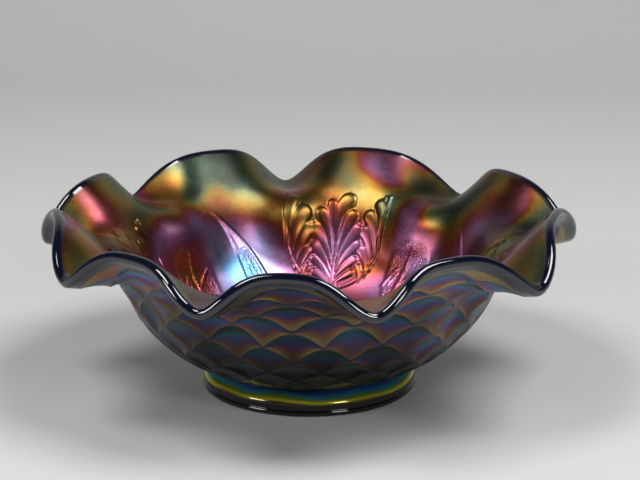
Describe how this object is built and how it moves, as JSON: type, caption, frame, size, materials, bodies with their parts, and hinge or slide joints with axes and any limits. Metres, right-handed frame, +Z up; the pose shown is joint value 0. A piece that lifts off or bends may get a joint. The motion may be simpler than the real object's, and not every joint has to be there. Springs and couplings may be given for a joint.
{
  "type": "ruffled glass bowl",
  "caption": "Deep round pressed-glass bowl with a ruffled rim, thumbprint scales outside, leaf relief inside and an iridescent film, on a low collar foot.",
  "frame": {"origin": "middle of the underside of the collar foot, on the plane that it rests on", "axes": "+Z up through the middle of the bowl; -Y is the front; +X is to the right seen from the front"},
  "size_m": [0.2414, 0.2396, 0.0861],
  "materials": {
    "lustred_glass": "satin iridescent metallic film over dark amethyst glass",
    "bare_dark_glass": "glossy, with a faint film on its upper side"
  },
  "bodies": {
    "root": {"ruffled_bowl": "lustred_glass", "collar_foot": "bare_dark_glass"}
  },
  "joints": []
}
